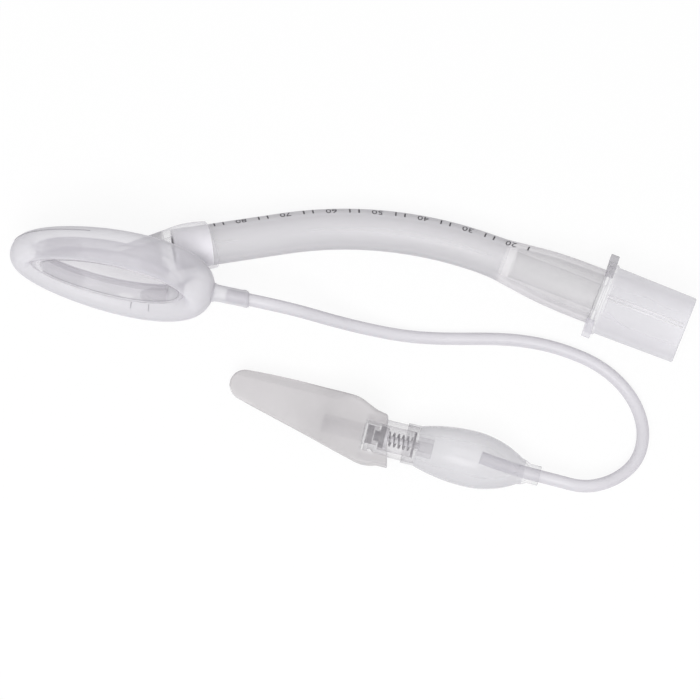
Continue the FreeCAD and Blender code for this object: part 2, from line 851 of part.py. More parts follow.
def line_corners(airway, valve):
    """All corners: out of the nipple, along the floor, round the loop and into the balloon."""
    nipple_end = size("ring_half_length") + size("heel_section_width") / 2 + size("nipple_length")
    start = airway.multVec(ALONG * (nipple_end - size("line_seat")))
    leave = airway.multVec(ALONG * (nipple_end + size("line_lead_out")))
    enter = valve.multVec(ALONG * (size("sleeve_end") + size("line_lead_in")))
    inside = valve.multVec(ALONG * (size("sleeve_start") - size("line_lead_in")))
    end = valve.multVec(Vector(size("line_end_at"), size("line_end_aside"), 0))
    return [start, leave, *[Vector(*point) for point in LINE_RUN], enter, inside, end]


def make_line(airway, valve):
    """The inflation line from the nipple's bore to its open end in the balloon."""
    corners = line_corners(airway, valve)
    edges, radii = rounded_path(corners)
    wire = Part.Wire(edges)
    circle = Part.Circle(corners[0], corners[1] - corners[0], size("line_radius"))
    solid = wire.makePipe(Part.Face(Part.Wire([circle.toShape()])))
    expected = math.pi * size("line_radius") ** 2 * wire.Length
    print("line arc radii", [round(radius, 1) for radius in radii])
    print("line length", round(wire.Length, 1), "volume against section by length", solid.Volume / expected)
    return set_shape("inflation_line", solid)


# Assembly


def on_floor(features, placement):
    """Moves the placement up or down until the lowest of the features stands on the floor."""
    lowest = min(
        feature.Shape.transformed(placement.toMatrix()).optimalBoundingBox(False).ZMin for feature in features
    )
    return Placement(placement.Base - SIDE * lowest, placement.Rotation)


def connector_frame():
    """The connector's frame in the mask's frame, at the end of the tube's run."""
    first = math.radians(size("collar_angle"))
    last = math.radians(size("collar_angle") - size("bend_turn"))
    seat = Vector(size("tube_seat_x"), size("tube_seat_y"), 0)
    bend = Vector(math.sin(first) - math.sin(last), math.cos(last) - math.cos(first), 0)
    near = Vector(math.cos(first), math.sin(first), 0) * size("straight_at_mask")
    far = Vector(math.cos(last), math.sin(last), 0) * size("straight_at_connector")
    return Placement(seat + near + bend * size("bend_radius") + far, Rotation(SIDE, math.degrees(last)))


airway_pieces = [make_cuff(), make_backplate()]
tube_pieces = [make_tube(), make_connector()]
valve_pieces = [
    make_valve_body(),
    make_valve_tail(),
    make_valve_seal(),
    make_valve_plunger(),
    make_valve_spring(),
    make_balloon(),
    make_plug(),
    make_tag(),
]
doc.recompute()

airway_turn = Rotation(size("airway_yaw"), size("airway_pitch"), size("airway_roll"))
airway = Placement(Vector(size("airway_x"), size("airway_y"), 0), airway_turn)
for piece in tube_pieces:
    piece.Placement = connector_frame()
airway = on_floor(airway_pieces + tube_pieces, airway)
for piece in airway_pieces:
    piece.Placement = airway
for piece in tube_pieces:
    piece.Placement = airway * connector_frame()

belly_height = size("balloon_radius") - size("tag_mouth_depth") / 2
belly_run = size("balloon_belly_at") + size("tag_flat_end")
valve_turn = Rotation(size("valve_yaw"), -math.degrees(math.asin(belly_height / belly_run)), 0)
valve = Placement(Vector(size("valve_x"), size("valve_y"), 0), valve_turn)
valve = on_floor(valve_pieces, valve)
for piece in valve_pieces:
    piece.Placement = valve

pieces = airway_pieces + tube_pieces + valve_pieces + [make_line(airway, valve)]
doc.recompute()

for item in doc.Objects:
    if "Invalid" in item.State or "Error" in item.State:
        raise ValueError(f"{item.Name} is {item.State}")
os.makedirs("parts", exist_ok=True)
for piece in pieces:
    shape = piece.Shape
    if shape.isNull() or not shape.isValid() or len(shape.Solids) != 1:
        raise ValueError(f"{piece.Label} is not one valid solid")
    shape.exportStep(f"parts/{piece.Label}.step")
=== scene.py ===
import math

import bmesh
import bpy
from mathutils import Matrix, Vector


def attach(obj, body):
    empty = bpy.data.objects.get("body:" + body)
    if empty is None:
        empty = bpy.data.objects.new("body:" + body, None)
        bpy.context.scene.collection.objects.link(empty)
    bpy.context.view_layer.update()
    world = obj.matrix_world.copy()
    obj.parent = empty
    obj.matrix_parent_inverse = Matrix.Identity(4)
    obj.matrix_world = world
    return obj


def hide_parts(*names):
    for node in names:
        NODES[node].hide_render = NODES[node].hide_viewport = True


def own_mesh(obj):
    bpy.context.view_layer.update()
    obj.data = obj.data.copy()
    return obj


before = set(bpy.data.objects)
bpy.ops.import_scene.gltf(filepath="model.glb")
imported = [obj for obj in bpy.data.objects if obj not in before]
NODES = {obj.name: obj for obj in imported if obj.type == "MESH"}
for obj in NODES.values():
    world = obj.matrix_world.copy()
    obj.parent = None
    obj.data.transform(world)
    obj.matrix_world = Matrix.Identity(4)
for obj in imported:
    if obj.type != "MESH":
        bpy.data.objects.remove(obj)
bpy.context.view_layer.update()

MM = 0.001
X, Y, Z = Vector((1, 0, 0)), Vector((0, 1, 0)), Vector((0, 0, 1))


def turned(yaw, pitch, roll):
    turns = [
        Matrix.Rotation(math.radians(angle), 4, axis)
        for angle, axis in ((yaw, "Z"), (pitch, "Y"), (roll, "X"))
    ]
    return turns[0] @ turns[1] @ turns[2]


def along(angle):
    return Vector((math.cos(math.radians(angle)), math.sin(math.radians(angle)), 0))


# The tube's middle line: straight out of the mask's collar, one bend, and straight to the connector
COLLAR_ANGLE, TURN = 23.3, 34.7
FAR_ANGLE = COLLAR_ANGLE - TURN
NEAR, FAR = along(COLLAR_ANGLE), along(FAR_ANGLE)
SEAT = Vector((12.2, 8.5, 0))
STRAIGHT_AT_MASK, STRAIGHT_AT_CONNECTOR, BEND_RADIUS = 24.7, 24.4, 80.0
BEND = Vector((NEAR.y - FAR.y, FAR.x - NEAR.x, 0))
TUBE_END = SEAT + NEAR * STRAIGHT_AT_MASK + BEND * BEND_RADIUS + FAR * STRAIGHT_AT_CONNECTOR
TUBE_LENGTH = STRAIGHT_AT_CONNECTOR + BEND_RADIUS * math.radians(TURN) + STRAIGHT_AT_MASK

# The frames of the mask, its collar, the connector and the valve, in millimetres
MASK = Matrix.Translation((-53.584, 2.3, 13.040)) @ turned(-11.73, -1.348, -23.666)
COLLAR = MASK @ Matrix.Translation(SEAT) @ turned(COLLAR_ANGLE, 0, 0)
CONNECTOR = MASK @ Matrix.Translation(TUBE_END) @ turned(FAR_ANGLE, 0, 0)
VALVE = Matrix.Translation((2.696, -32.98, 5.846)) @ turned(-14.0, -1.128, 0)


def link(obj):
    bpy.context.scene.collection.objects.link(obj)
    return obj


# Camera, in metres and degrees above the horizon
DISTANCE, ELEVATION = 0.52, 85.0
TARGET = Vector((-0.000964, -0.01393, 0.0))
PIXELS_PER_SLOPE, PICTURE_WIDTH, SENSOR_WIDTH = 2310.0, 700, 36.0
camera = link(bpy.data.objects.new("camera", bpy.data.cameras.new("camera")))
camera.data.sensor_width = SENSOR_WIDTH
camera.data.lens = SENSOR_WIDTH * PIXELS_PER_SLOPE / PICTURE_WIDTH
camera.data.clip_start = 0.01
camera.rotation_euler = (math.radians(90 - ELEVATION), 0, 0)
look = Vector((0, math.cos(math.radians(ELEVATION)), -math.sin(math.radians(ELEVATION))))
camera.location = TARGET - look * DISTANCE
bpy.context.scene.camera = camera


# Meshes and curves, in millimetres
ROUND = 96
VOXEL = 0.25
SHARP = 35


def smoothed(mesh):
    mesh.polygons.foreach_set("use_smooth", [True] * len(mesh.polygons))


def link_mesh(name, vertices, faces, place=Matrix.Identity(4)):
    mesh = bpy.data.meshes.new(name)
    mesh.from_pydata([(place @ Vector(v)) * MM for v in vertices], [], faces)
    mesh.validate()
    bm = bmesh.new()
    bm.from_mesh(mesh)
    bmesh.ops.recalc_face_normals(bm, faces=bm.faces)
    bm.to_mesh(mesh)
    bm.free()
    smoothed(mesh)
    return link(bpy.data.objects.new(name, mesh))


def rings_mesh(name, rings, place, closed=True):
    """A skin over rings of equal count. Closed joins the last ring to the first, and otherwise the
    ends are capped."""
    count = len(rings[0])
    vertices = [v for ring in rings for v in ring]
    faces = []
    last = len(rings) if closed else len(rings) - 1
    for i in range(last):
        a, b = i * count, (i + 1) % len(rings) * count
        for j in range(count):
            k = (j + 1) % count
            faces.append((a + j, a + k, b + k, b + j))
    if not closed:
        faces.append(tuple(range(count)))
        faces.append(tuple((len(rings) - 1) * count + j for j in range(count)))
    return link_mesh(name, vertices, faces, place)


def circle(centre, across, up, radius, count):
    turns = [2 * math.pi * j / count for j in range(count)]
    return [centre + across * (radius * math.cos(t)) + up * (radius * math.sin(t)) for t in turns]


def turned_piece(name, profile, place, count=ROUND):
    """A piece turned about the frame's X axis from (along, radius) pairs."""
    return rings_mesh(name, [circle(X * at, Y, Z, radius, count) for at, radius in profile], place)


def applied(obj):
    """Replaces the object's mesh with the evaluated one, and clears the modifiers."""
    graph = bpy.context.evaluated_depsgraph_get()
    mesh = bpy.data.meshes.new_from_object(obj.evaluated_get(graph))
    obj.modifiers.clear()
    obj.data = mesh
    smoothed(mesh)
    return obj


def melted(obj, smoothing):
    """Remeshes and smooths a piece, so that its edges and joins are rounded as moulded ones are."""
    remesh = obj.modifiers.new("remesh", "REMESH")
    remesh.mode = "VOXEL"
    remesh.voxel_size = VOXEL * MM
    smooth = obj.modifiers.new("smooth", "CORRECTIVE_SMOOTH")
    smooth.smooth_type = "LENGTH_WEIGHTED"
    smooth.use_only_smooth = True
    smooth.iterations = smoothing
    return applied(obj)


def copied(node, name):
    obj = link(bpy.data.objects.new(name, NODES[node].data.copy()))
    obj.data.materials.clear()
    return obj


def joined(first, *others):
    bm = bmesh.new()
    for obj in (first, *others):
        bm.from_mesh(obj.data)
    bm.to_mesh(first.data)
    bm.free()
    for obj in others:
        bpy.data.objects.remove(obj)
    return first


# Materials
CLOUD_SCALE, CLOUD_DETAIL, CLOUD_SHADE, CLOUD_RAMP = 120.0, 3.0, 0.04, (0.3, 0.7)
GRAIN_SCALE, GRAIN_DETAIL, GRAIN_DEPTH = 900.0, 4.0, 0.0001
GLOSS_SPREAD, LEAST_ROUGH = 0.05, 0.02
REFRACTION = 1.4
LEAST_EVEN = 0.05
MILK = (0.56, 0.545, 0.58, 1)
PATCH_FADE = 0.4
PATCH_RAMP = ((0.0, 0), (1.0, 0), (0.38, 1), (0.62, 1))


def filled(tree, node, inputs):
    """Sets a node's inputs to values or links them to other nodes' outputs."""
    for name, value in inputs.items():
        if isinstance(value, bpy.types.NodeSocket):
            tree.links.new(value, node.inputs[name])
        else:
            node.inputs[name].default_value = value
    return node


def added(tree, kind, inputs, **settings):
    node = tree.nodes.new(kind)
    for name, value in settings.items():
        setattr(node, name, value)
    return filled(tree, node, inputs)


def maths(tree, operation, first, second):
    return added(tree, "ShaderNodeMath", {0: first, 1: second}, operation=operation).outputs[0]


def film_alpha(tree, alpha, even):
    """How much a skin hides. It hides more where the way through it is longer, as glass and film do,
    and the even share of it doesn't change with the angle."""
    slant = added(tree, "ShaderNodeLayerWeight", {"Blend": 0.5})
    square_on = maths(tree, "SUBTRACT", 1.0, slant.outputs["Facing"])
    square_on = maths(tree, "MULTIPLY", square_on, 1.0 - even)
    square_on = maths(tree, "ADD", square_on, max(even, LEAST_EVEN))
    passed = maths(tree, "POWER", 1.0 - alpha, maths(tree, "DIVIDE", 1.0, square_on))
    return maths(tree, "SUBTRACT", 1.0, passed)


def milky(tree, shown, place, start, end):
    """The colour, with a milky place from start to end in X."""
    split = added(tree, "ShaderNodeSeparateXYZ", {"Vector": place})
    spread = (end - start) * PATCH_FADE
    low, high = (start - spread) * MM, (end + spread) * MM
    reach = added(
        tree, "ShaderNodeMapRange", {"Value": split.outputs["X"], "From Min": low, "From Max": high}
    )
    window = added(tree, "ShaderNodeValToRGB", {"Fac": reach.outputs["Result"]})
    ramp = window.color_ramp.elements
    for element, (at, level) in zip([*ramp, ramp.new(0.5), ramp.new(0.6)], PATCH_RAMP):
        element.position = at
        element.color = (level, level, level, 1)
    inputs = {"Factor": window.outputs["Color"], "A": shown, "B": MILK}
    return added(tree, "ShaderNodeMix", inputs, data_type="RGBA").outputs["Result"]


def plastic(name, colour, alpha, rough, even=0.0, bump=0.1, metallic=0.0, patch=None):
    """Moulded plastic: faint clouds of colour, a fine uneven skin and varying gloss. Clear and milky
    ones let light straight through by their alpha. A patch is a milky place as (start, end) in X."""
    material = bpy.data.materials.new(name)
    material.use_nodes = True
    tree = material.node_tree
    place = tree.nodes.new("ShaderNodeTexCoord").outputs["Object"]
    clouds = added(
        tree, "ShaderNodeTexNoise", {"Vector": place, "Scale": CLOUD_SCALE, "Detail": CLOUD_DETAIL}
    )
    tint = added(tree, "ShaderNodeValToRGB", {"Fac": clouds.outputs["Fac"]})
    darker, lighter = tint.color_ramp.elements
    darker.position, lighter.position = CLOUD_RAMP
    darker.color = (*[c * (1 - CLOUD_SHADE) for c in colour], 1)
    lighter.color = (*[min(1, c * (1 + CLOUD_SHADE)) for c in colour], 1)
    shown = tint.outputs["Color"]
    if patch:
        shown = milky(tree, shown, place, *patch)
    grain = added(
        tree, "ShaderNodeTexNoise", {"Vector": place, "Scale": GRAIN_SCALE, "Detail": GRAIN_DETAIL}
    ).outputs["Fac"]
    least, most = max(LEAST_ROUGH, rough - GLOSS_SPREAD), rough + GLOSS_SPREAD
    gloss = added(tree, "ShaderNodeMapRange", {"Value": grain, "To Min": least, "To Max": most})
    bumps = added(
        tree, "ShaderNodeBump", {"Height": grain, "Strength": bump, "Distance": GRAIN_DEPTH}
    )
    shader = tree.nodes["Principled BSDF"]
    filled(
        tree,
        shader,
        {
            "Base Color": shown,
            "Roughness": gloss.outputs["Result"],
            "Normal": bumps.outputs["Normal"],
            "IOR": REFRACTION,
            "Metallic": metallic,
            "Alpha": alpha,
        },
    )
    if alpha < 1:
        filled(tree, shader, {"Alpha": film_alpha(tree, alpha, even)})
    return material


VINYL = (0.78, 0.765, 0.81)
cuff_film = plastic("cuff_film", (0.68, 0.665, 0.71), 0.39, 0.35)
# Painted shade: the backplate's dome is darker than the rest of its vinyl, for the shade inside the
# bowl
dome_vinyl_painted_shade = plastic("dome_vinyl_painted_shade", (0.54, 0.52, 0.56), 0.34, 0.35)
# Painted light: the bowl's steep wall below the dome is lighter than the dome, against the shade inside
# the bowl
skirt_vinyl_painted_light = plastic("skirt_vinyl_painted_light", (0.84, 0.82, 0.86), 0.16, 0.35)
collar_vinyl = plastic("collar_vinyl", VINYL, 0.15, 0.35)
# Painted light: the tube's end inside the collar, opaque and much lighter than the tube, against the
# collar's shade
bonded_vinyl_painted_light = plastic("bonded_vinyl_painted_light", (0.9, 0.885, 0.92), 1.0, 0.4)
weld_vinyl = plastic("weld_vinyl", (0.45, 0.44, 0.47), 0.4, 0.4)
tube_vinyl = plastic("tube_vinyl", (0.38, 0.35, 0.385), 0.38, 0.3, patch=(-36.0, -17.0))
stem_vinyl = plastic("stem_vinyl", (0.72, 0.69, 0.73), 0.26, 0.3)
line_vinyl = plastic("line_vinyl", (0.68, 0.66, 0.71), 0.5, 0.25)
balloon_film = plastic("balloon_film", (0.62, 0.61, 0.65), 0.33, 0.2, even=0.5)
inner_skin = plastic("inner_skin", VINYL, 0.05, 0.35)
clear_rigid = plastic("clear_rigid", (0.68, 0.66, 0.72), 0.3, 0.35, even=0.45, bump=0.03)
# Painted shade: a darker copy of the clear plastic for the upper ear, the side turned away from the key
# light
ear_painted_shade = plastic("ear_painted_shade", (0.3, 0.28, 0.33), 0.3, 0.3, even=0.3, bump=0.03)
clear_rim = plastic("clear_rim", (0.72, 0.70, 0.75), 0.16, 0.3, bump=0.03)
# Painted light: the plug is lighter than the other clear pieces, standing in for its highlight streaks
# and lifting it out of the tag's shade
plug_painted_light = plastic("plug_painted_light", (0.95, 0.93, 0.97), 0.16, 0.3, even=0.5, bump=0.03)
# Painted highlight: the mould's double line along the cone is near white, standing in for glints of
# gloss
parting_line_highlight = plastic("parting_line_highlight", (0.97, 0.95, 0.99), 0.7, 0.4, bump=0.03)
clear_valve = plastic("clear_valve", (0.72, 0.69, 0.73), 0.15, 0.15, bump=0.03)
tag_plastic = plastic("tag_plastic", (0.55, 0.525, 0.54), 0.5, 0.4, even=0.6)
mouth_skin = plastic("mouth_skin", (0.62, 0.60, 0.63), 0.16, 0.4)
neck_skin = plastic("neck_skin", (0.70, 0.685, 0.72), 0.1, 0.4)
plunger_plastic = plastic("plunger_plastic", (0.8, 0.79, 0.82), 1.0, 0.4)
seal_rubber = plastic("seal_rubber", (0.07, 0.07, 0.075), 1.0, 0.5, bump=0.2)
spring_steel = plastic("spring_steel", (0.16, 0.16, 0.17), 1.0, 0.35, metallic=1.0)
print_ink = plastic("print_ink", (0.06, 0.055, 0.065), 1.0, 0.6)


def dress(obj, material, body, replaces=()):
    obj.data.materials.clear()
    obj.data.materials.append(material)
    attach(obj, body)
    if replaces:
        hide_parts(*replaces)


def dress_node(node, material):
    data = NODES[node].data
    data.materials.clear()
    data.materials.append(material)
    smoothed(data)
    NODES[node].modifiers.new("edges", "EDGE_SPLIT").split_angle = math.radians(SHARP)


def scored(obj, place, *cuts):
    """Cuts the mesh's faces along planes, each an axis and a level in a frame, so that materials
    meet cleanly."""
    bm = bmesh.new()
    bm.from_mesh(obj.data)
    for axis, level in cuts:
        bmesh.ops.bisect_plane(
            bm,
            geom=bm.verts[:] + bm.edges[:] + bm.faces[:],
            plane_co=(place @ (axis * level)) * MM,
            plane_no=place.to_3x3() @ axis,
        )
    bm.to_mesh(obj.data)
    bm.free()


BORE_FACING = -0.3


def outward(spot, normal):
    """How a face looks away from a frame's X axis. Below 0 it looks into a bore."""
    return spot.y * normal.y + spot.z * normal.z


def inner_faces(obj, material, inside, place):
    """Gives the faces that the test picks, by centre and normal in a frame, a material of their own."""
    obj.data.materials.append(material)
    index = len(obj.data.materials) - 1
    back = place.inverted()
    turn = back.to_3x3()
    for face in obj.data.polygons:
        if inside(back @ (face.center / MM), turn @ face.normal):
            face.material_index = index


# Inflation line, along the points of its solid's route
LINE_POINTS = (
    (-28.04, -3.0, 13.65),
    (-20.21, -4.63, 13.84),
    (-12.21, -6.28, 11.7),
    (-4.21, -8.18, 7.3),
    (3.99, -9.83, 3.7),
    (11.79, -11.08, 1.9),
    (19.79, -11.58, 1.42),
    (33.59, -11.48, 1.42),
    (41.79, -12.58, 1.42),
    (48.59, -14.58, 1.42),
    (54.79, -17.38, 1.42),
    (59.99, -21.68, 1.45),
    (63.49, -26.98, 1.7),
    (64.79, -32.88, 2.4),
    (63.29, -38.68, 3.4),
    (59.29, -42.48, 4.6),
    (54.49, -44.48, 5.9),
    (49.89, -44.88, 6.6),
    (44.02, -43.28, 6.68),
    (35.49, -41.16, 6.51),
    (27.94, -38.35, 6.35),
)
LINE_RADIUS = 1.4


def route_curve(name):
    curve = bpy.data.curves.new(name, "CURVE")
    curve.dimensions = "3D"
    spline = curve.splines.new("NURBS")
    spline.points.add(len(LINE_POINTS) - 1)
    for point, place in zip(spline.points, LINE_POINTS):
        point.co = (*(v * MM for v in place), 1)
    spline.order_u = 3
    spline.use_endpoint_u = True
    spline.resolution_u = 12
    curve.bevel_depth = LINE_RADIUS * MM
    curve.bevel_resolution = 6
    curve.use_fill_caps = True
    return link(bpy.data.objects.new(name, curve))


def spline_length(obj):
    """The length of the curve's middle line, in metres."""
    bare = obj.data.copy()
    bare.bevel_depth = 0
    probe = link(bpy.data.objects.new("probe", bare))
    mesh = bpy.data.meshes.new_from_object(probe)
    places = [vertex.co for vertex in mesh.vertices]
    total = sum((places[edge.vertices[0]] - places[edge.vertices[1]]).length for edge in mesh.edges)
    bpy.data.objects.remove(probe)
    return total


line = route_curve("inflation_line_tube")
dress(line, line_vinyl, "airway", ["inflation_line"])


# Cuff: the inflated ring, egg-shaped in plan, with its nipple
HALF_LENGTH, HALF_WIDTH, FULLNESS = 19.9, 10.6, 0.146
TIP_SECTION, HEEL_SECTION = (5.6, 7.0), (6.8, 9.5)
CUFF_STATIONS, CUFF_ROUND = 240, 72
TURN_STEP = 0.01


def egg_point(turn, drawn_in=0.0):
    """A point on the ring's middle line, or on one drawn in from it, at a turn round the plan."""
    across = math.sin(turn) * (1 - FULLNESS * math.cos(turn))
    return Vector((-(HALF_LENGTH - drawn_in) * math.cos(turn), 0, (HALF_WIDTH - drawn_in) * across))


def ring_place(turn, angle, inset=0.0):
    """A point on the ring's skin, or the inset below it. The turn runs round the plan, the angle
    round the section."""
    ahead = egg_point(turn + TURN_STEP) - egg_point(turn - TURN_STEP)
    inward = Y.cross(ahead).normalized()
    share = (1 - math.cos(turn)) / 2
    width, height = (
        (tip * (1 - share) + heel * share) / 2 - inset for tip, heel in zip(TIP_SECTION, HEEL_SECTION)
    )
    return egg_point(turn) + inward * (width * math.cos(angle)) + Y * (height * math.sin(angle))


ring_turns = [2 * math.pi * i / CUFF_STATIONS for i in range(CUFF_STATIONS)]
ring_angles = [2 * math.pi * j / CUFF_ROUND for j in range(CUFF_ROUND)]
ring_rings = [[ring_place(turn, angle) for angle in ring_angles] for turn in ring_turns]

NIPPLE_ROOT, NIPPLE_TIP, NIPPLE_BORE = 22.9, 31.1, 1.44
NIPPLE_PROFILE = (
    (NIPPLE_ROOT, 2.2), (23.3, 2.1), (23.8, 1.9), (24.5, 1.85),
    (29.6, 1.85), (30.1, 1.93), (30.6, 1.9), (NIPPLE_TIP, 1.6),
    (NIPPLE_TIP, NIPPLE_BORE), (NIPPLE_ROOT, NIPPLE_BORE),
)
NIPPLE_ROUND = 64
NIPPLE_SLANT, SLANT_START = 12.0, 29.0
nipple_rings = [circle(X * at, Y, Z, radius, NIPPLE_ROUND) for at, radius in NIPPLE_PROFILE]
for ring in nipple_rings:
    for point in ring:
        if point.x > SLANT_START:
            point.x -= point.y * math.tan(math.radians(NIPPLE_SLANT))

cuff = joined(
    rings_mesh("cuff_ring", ring_rings, MASK),
    rings_mesh("cuff_nipple", nipple_rings, MASK),
)
dress(cuff, cuff_film, "airway", ["cuff"])


def in_nipple(spot, normal):
    """True in the nipple's bore."""
    return spot.x > NIPPLE_ROOT and outward(spot, normal) < BORE_FACING


inner_faces(cuff, inner_skin, in_nipple, MASK)


# Weld lines and moulded marks on the cuff
BEAD_ROUND, BEAD_SINK = 8, 0.02
WELD_RADIUS, MARK_RADIUS = 0.12, 0.13
WELD_STEPS, RIM_STEPS, MARK_STEPS = 60, 120, 8


def bead(points, radius, place):
    """A thin moulded ridge along points."""
    rings = []
    for i, point in enumerate(points):
        ahead = (points[min(i + 1, len(points) - 1)] - points[max(i - 1, 0)]).normalized()
        across = ahead.cross(Z if abs(ahead.z) < 0.9 else X).normalized()
        rings.append(circle(point, across, ahead.cross(across), radius, BEAD_ROUND))
    return rings_mesh("bead", rings, place, closed=False)


def angles_between(first, last, steps):
    return [math.radians(first + (last - first) * i / steps) for i in range(steps + 1)]


def ring_bead(first, last, angle):
    """A weld line round the plan, at an angle of the ring's section."""
    turns = angles_between(first, last, WELD_STEPS)
    return bead([ring_place(t, math.radians(angle), BEAD_SINK) for t in turns], WELD_RADIUS, MASK)


def rim_bead(drawn_in, level, first, last):
    """A weld line round the bowl's opening."""
    turns = angles_between(first, last, RIM_STEPS)
    return bead([egg_point(t, drawn_in) + Y * level for t in turns], WELD_RADIUS, MASK)


def mark(turn, first, last):
    """A short line round the ring's section."""
    angles = angles_between(first, last, MARK_STEPS)
    return bead([ring_place(math.radians(turn), a, BEAD_SINK) for a in angles], MARK_RADIUS, MASK)


welds = joined(
    ring_bead(first=8, last=78, angle=154),
    mark(turn=255, first=-52, last=-31),
    mark(turn=241, first=-54, last=-31),
    rim_bead(drawn_in=4.1, level=-2.2, first=20, last=340),
)
welds.name = "cuff_welds"
dress(welds, weld_vinyl, "airway")


# Backplate with its funnel and collar
SKIRT_TOP, RING_TOP = 0.4, 2.6
COLLAR_BACK, THROAT_BACK = -2.0, -3.0
RING_HALF_WIDTH, RING_HALF_HEIGHT = 3.6, 4.7
plate = melted(copied("backplate", "mask_backplate"), smoothing=6)
# The dome takes the darkened vinyl as painted shade
dress(plate, dome_vinyl_painted_shade, "airway", ["backplate"])


def in_skirt(spot, normal):
    """True on the bowl's steep wall, below the dome."""
    return spot.y < SKIRT_TOP and spot.x * normal.x + spot.z * normal.z < 0


def on_ring(spot, normal):
    """True where the plate lies against the ring."""
    away = spot - egg_point(math.atan2(spot.z / HALF_WIDTH, -spot.x / HALF_LENGTH))
    reach = math.hypot(math.hypot(away.x, away.z) / RING_HALF_WIDTH, away.y / RING_HALF_HEIGHT)
    return spot.y < RING_TOP and away.dot(normal) < 0 and reach < 1


def in_collar(spot, normal):
    return spot.x > COLLAR_BACK


def in_throat(spot, normal):
    """True in the collar's bore and at the throat's start."""
    return spot.x > THROAT_BACK and outward(spot, normal) < 0


scored(plate, MASK, (Y, SKIRT_TOP), (Y, RING_TOP))
scored(plate, COLLAR, (X, COLLAR_BACK), (X, THROAT_BACK))
# The bowl's steep wall is lightened as painted light
inner_faces(plate, skirt_vinyl_painted_light, in_skirt, MASK)
inner_faces(plate, inner_skin, on_ring, MASK)
inner_faces(plate, collar_vinyl, in_collar, COLLAR)
inner_faces(plate, inner_skin, in_throat, COLLAR)


# Airway tube, measured from the flange: its flared skin and the bore that holds the stem
FLARE = (
    (0, 6.3), (6, 6.27), (9, 6.18), (12, 6.03), (15, 5.73),
    (18, 5.36), (20.6, 5.05), (23.6, 4.67), (27, 4.6),
)
SEAT_BORE = ((0, 5.08), (11, 4.88), (20.2, 3.95), (23.6, 3.1))
STATIONS = 240
STEM_COVER, BONDED_DEPTH = 22.0, 8.4
TUBE_INNER, TUBE_STEM, TUBE_BONDED = 1, 2, 3


def stepped(pairs, at):
    """The radius at a length, straight between the pairs and level after the last."""
    if at >= pairs[-1][0]:
        return pairs[-1][1]
    for (a, low), (b, high) in zip(pairs, pairs[1:]):
        if a <= at <= b:
            return low + (high - low) * (at - a) / (b - a)


def tube_frame(at):
    """Centre and sideways direction of the tube, at a length from the flange."""
    if at <= STRAIGHT_AT_CONNECTOR:
        return Vector((-at, 0, 0)), Y
    turn = min((at - STRAIGHT_AT_CONNECTOR) / BEND_RADIUS, math.radians(TURN))
    side = Vector((-math.sin(turn), math.cos(turn), 0))
    centre = Vector((-STRAIGHT_AT_CONNECTOR, -BEND_RADIUS, 0)) + side * BEND_RADIUS
    rest = at - STRAIGHT_AT_CONNECTOR - BEND_RADIUS * turn
    return centre - Vector((side.y, -side.x, 0)) * max(rest, 0), side


def tube_rings(pairs):
    rings = []
    for i in range(STATIONS + 1):
        at = TUBE_LENGTH * i / STATIONS
        centre, side = tube_frame(at)
        rings.append(circle(centre, side, Z, stepped(pairs, at), ROUND))
    return rings


tube = rings_mesh("airway_tube_wall", tube_rings(FLARE) + tube_rings(SEAT_BORE)[::-1], CONNECTOR)
dress(tube, tube_vinyl, "airway", ["airway_tube"])
# The bonded end inside the collar takes the lighter material as painted light
for material in (inner_skin, stem_vinyl, bonded_vinyl_painted_light):
    tube.data.materials.append(material)
seated = STATIONS * STEM_COVER / TUBE_LENGTH
bonded = STATIONS * (1 - BONDED_DEPTH / TUBE_LENGTH)
for face in tube.data.polygons:
    station = min(v // ROUND for v in face.vertices)
    if station > bonded:
        face.material_index = TUBE_BONDED if station <= STATIONS else TUBE_INNER
    elif station < seated:
        face.material_index = TUBE_STEM


# Depth scale printed along the tube: a number in every fifth place, with a tick on either side
PRINT_LIFT, INK_THICKNESS = 0.02, 0.03
SCALE_START, SCALE_STEP, SCALE_PLACES = 18.0, 2.0, 36
SCALE_ANGLE, SCALE_DRIFT = 64, 12
FIRST_NUMBER, NUMBER_STEP, PLACES_PER_NUMBER = 20, 10, 5
NUMBER_PLACE, TICK_PLACES = 2, (0, 4)
TICK_WIDTH, TICK_LENGTH, TICK_STEPS = 0.32, 1.7, 8
NUMBER_HEIGHT, LONGEST_EDGE = 2.6, 0.35


def printed(at, across, aside):
    """A place on the tube's skin, from a length along it and a distance round it from an angle."""
    centre, side = tube_frame(at)
    radius = stepped(FLARE, at) + PRINT_LIFT
    angle = math.radians(aside) + across / radius
    return centre + side * (radius * math.cos(angle)) + Z * (radius * math.sin(angle))


def tick(at, aside):
    spots = [
        printed(at + end * TICK_WIDTH, (j / TICK_STEPS - 0.5) * TICK_LENGTH, aside)
        for end in (-0.5, 0.5)
        for j in range(TICK_STEPS + 1)
    ]
    faces = [(j, j + 1, TICK_STEPS + 2 + j, TICK_STEPS + 1 + j) for j in range(TICK_STEPS)]
    return link_mesh("tick", spots, faces, CONNECTOR)


